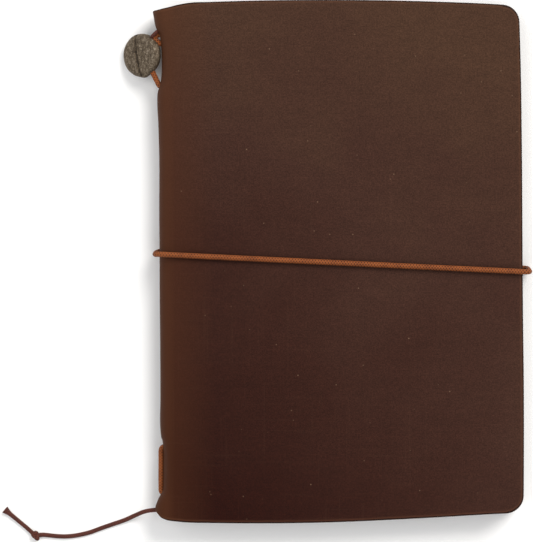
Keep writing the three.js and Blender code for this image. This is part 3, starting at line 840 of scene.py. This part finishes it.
def make_bookmark():
    braid = woven_material("bookmark_braid", (0.018, 0.0035, 0.0025), (0.10, 0.024, 0.014), 1.9, CORD)
    turn = np.linspace(0, 2 * math.pi, 49)
    slant = 0.95 * np.cos(turn)
    hitch_x = -44.15 + slant - 0.2 * np.sin(turn)
    hitch = np.stack([hitch_x, 58.95 + slant, MIDDLE + 1.15 * np.sin(turn)], axis=1)
    piece, _ = rope("bookmark_loop", hitch, 0.95, closed=True, ribs=0.02)
    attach(finish_piece(piece, braid, "cord", "bookmark_hitch"), "spine_middle")

    gutter_x = FOLD_X + 1.5
    over = MIDDLE + 1.35
    inner = [
        (-43.4, 59.6, MIDDLE),
        (OUTSIDE, 59.75, MIDDLE),
        (-40.15, 59.75, MIDDLE + 0.1),
        (-40.15, 60.95, MIDDLE + 0.8),
        (-39.85, 63.7, over),
        (-35.95, 63.7, over),
        (gutter_x, 63.7, MIDDLE + 0.3),
        (gutter_x, 61.3, MIDDLE),
        (gutter_x, -61.6, MIDDLE),
    ]
    piece, _ = rope("bookmark_inside", rounded(inner, 1.0), CORD, ribs=0.02)
    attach(finish_piece(piece, braid, "cord", "bookmark_inner_run"), "spine_middle")

    into_knot = (-0.0748, -0.0707, 0.0007)
    route = np.array([*BOOKMARK_ROUTE, into_knot]) / MM
    free, centres = rope("bookmark_free", flowing(route), CORD_SEEN, ribs=0.025, step=0.15)
    finish_piece(free, braid, "cord", "bookmark_cord")

    wrap = knot_line((-75.4, -70.75, 0.97), (0.5, 1.0, 0.44), lean=28)
    knot, _ = rope("bookmark_overhand", wrap, 1.0, closed=True, ribs=0.02, step=0.12)
    finish_piece(knot, braid, "cord", "bookmark_knot")

    tip = [
        (-75.9, -70.4, 0.75),
        (-76.9, -69.5, 0.55),
        (-78.4, -68.2, 0.52),
        (-81.3, -65.8, 0.55),
        (-83.4, -64.05, 0.62),
    ]
    flare = smooth([(0, 1.0), (0.7, 1.05), (0.84, 1.15), (0.93, 1.55), (1.0, 1.95)])
    end, _ = rope("bookmark_flared_end", flowing(tip), CORD_SEEN, ribs=0.025, step=0.12, swell=flare)
    for vertex in end.data.vertices:  # the flare lies on the table
        vertex.co.z = max(vertex.co.z, 0.00002)
    finish_piece(end, braid, "cord", "bookmark_tip")
    for piece in (free, knot, end):
        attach(piece, "back")


# ---------------------------------------------------------------- the booklet


def booklet_half(name, side, outer, inner, short, material, slot, node, body):
    """Half of the card or of the pages, from the edge of the fold to the fore edge."""
    turns = np.linspace(FOLD_TURN, math.pi / 2, 8)
    flats = np.concatenate([[0.4, 1.2, 2.5], np.linspace(6, BOOKLET_FORE - short - FOLD_X, 24)])
    lengths = np.concatenate([[BOOKLET_TAIL + short], np.linspace(-58, 60, 30), [BOOKLET_HEAD - short]])

    def grid(radius, gutter):
        # round the bend it has the gutter's radius, which turns into its own over the first of the flat
        reach = np.interp(flats, (0.8, 2.8), (gutter, radius))
        across = np.concatenate([FOLD_X - gutter * np.cos(turns), FOLD_X + flats])
        out = np.concatenate([gutter * np.sin(turns), reach])
        y, x = np.meshgrid(lengths, across, indexing="ij")
        return np.stack([x, y, np.broadcast_to(MIDDLE + side * out, y.shape)], axis=-1)

    upper, lower = grid(outer, outer), grid(inner, max(inner, GUTTER))
    count = upper.shape[0] * upper.shape[1]
    values = {"sheets": np.concatenate([np.ones(count), np.zeros(count)])}
    piece = closed_sheet(name, upper, lower, flip=side < 0, values=values)
    finish_piece(piece, material, slot, node)
    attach(piece, body)


def booklet_fold(name, outer, inner, short, material, slot, node):
    """The bend between the two halves, which stays in the spine."""
    lengths = np.linspace(BOOKLET_TAIL + short, BOOKLET_HEAD - short, 3)
    y, turn = np.meshgrid(lengths, np.linspace(-FOLD_TURN, FOLD_TURN, 15), indexing="ij")

    def grid(radius):
        return np.stack([FOLD_X - radius * np.cos(turn), y, MIDDLE + radius * np.sin(turn)], axis=-1)

    values = {"sheets": np.concatenate([np.ones(y.size), np.zeros(y.size)])}
    piece = closed_sheet(name, grid(outer), grid(inner), values=values)
    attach(finish_piece(piece, material, slot, node), "spine_middle")


def make_booklet():
    card, paper, wire = card_material(), paper_material(), wire_material()
    for word, side in (("back", -1), ("front", 1)):
        body = "booklet_" + word
        node = "booklet_card_" + word
        booklet_half("card_" + word, side, CARD_OUTER, CARD_INNER, 0.0, card, "card", node, body)
        node = "booklet_pages_" + word
        booklet_half("pages_" + word, side, PAGES_OUTER, PAGES_INNER, PAGES_SHORT, paper, "paper", node, body)
    booklet_fold("card_fold", CARD_OUTER, CARD_INNER, 0.0, card, "card", "booklet_card_fold")
    booklet_fold("pages_fold", PAGES_OUTER, GUTTER, PAGES_SHORT, paper, "paper", "booklet_pages_fold")
    crown = FOLD_X - CARD_OUTER - 0.3
    leg = FOLD_X - 1.0
    for word, middle in (("head", 38), ("tail", -36)):
        low, high = middle - STAPLE_SPAN, middle + STAPLE_SPAN
        line = [(leg, low, MIDDLE), (crown, low, MIDDLE), (crown, high, MIDDLE), (leg, high, MIDDLE)]
        piece, _ = rope("staple_" + word, rounded(line, 0.45), STAPLE, step=0.12)
        finish_piece(piece, wire, "staple", "booklet_staple_" + word)
        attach(piece, "spine_middle")


# ---------------------------------------------------------------- floor, lights and camera


def make_camera():
    """Straight down on the front cover."""
    data = bpy.data.cameras.new("camera")
    data.sensor_width = 36
    data.lens = data.sensor_width / 2 * CAMERA_HEIGHT / (VIEW_HEIGHT / 2)
    data.clip_start, data.clip_end = 0.05, 20
    camera = bpy.data.objects.new("camera", data)
    camera.location = (*CAMERA_AT, FRONT_FACE + CAMERA_HEIGHT)
    bpy.context.scene.collection.objects.link(camera)
    bpy.context.scene.camera = camera


def make_floor():
    mesh = bpy.data.meshes.new("floor")
    reach = 6.0
    corners = [(-reach, -reach, 0), (reach, -reach, 0), (reach, reach, 0), (-reach, reach, 0)]
    mesh.from_pydata(corners, [], [(0, 1, 2, 3)])
    floor = bpy.data.objects.new("floor", mesh)
    bpy.context.scene.collection.objects.link(floor)
    made, _, _ = new_material("floor", 0.9, Base_Color=(0.93, 0.93, 0.93, 1), Specular_IOR_Level=0.1)
    mesh.materials.append(made)


def sun_light(name, place, strength, width, colour=(1, 1, 1)):
    """Even light from far off, as soft as from a window that looks `width` degrees wide."""
    data = bpy.data.lights.new(name, "SUN")
    data.energy = strength
    data.angle = math.radians(width)
    data.color = colour
    light = bpy.data.objects.new(name, data)
    light.location = place
    light.rotation_euler = (-Vector(place)).to_track_quat("-Z", "Y").to_euler()
    light.visible_camera = False
    bpy.context.scene.collection.objects.link(light)


def make_lights():
    """Soft light from the head and fore edge, filled from the left and the tail, and a white surround."""
    sun_light("key", (0.62, 0.86, 1.0), 2.5, 34, (1.0, 0.97, 0.93))
    sun_light("left", (-0.8, 0.1, 1.0), 0.9, 60)
    sun_light("low", (0.3, -0.7, 1.0), 0.6, 60)
    world = bpy.data.worlds.new("studio")
    bpy.context.scene.world = world
    world.use_nodes = True
    tree = world.node_tree
    seen = add(tree, "LightPath").outputs["Is Camera Ray"]
    back = tree.nodes["Background"]
    surround = mix(tree, seen, (0.5, 0.5, 0.5), (0.97, 0.97, 0.97))
    tree.links.new(surround, back.inputs["Color"])
    back.inputs["Strength"].default_value = 1.0
    bpy.context.scene.view_settings.view_transform = "Standard"


make_camera()
make_bookmark()
make_leather()
make_elastics()
make_clasp()
make_booklet()
make_floor()
make_lights()

bpy.context.view_layer.update()
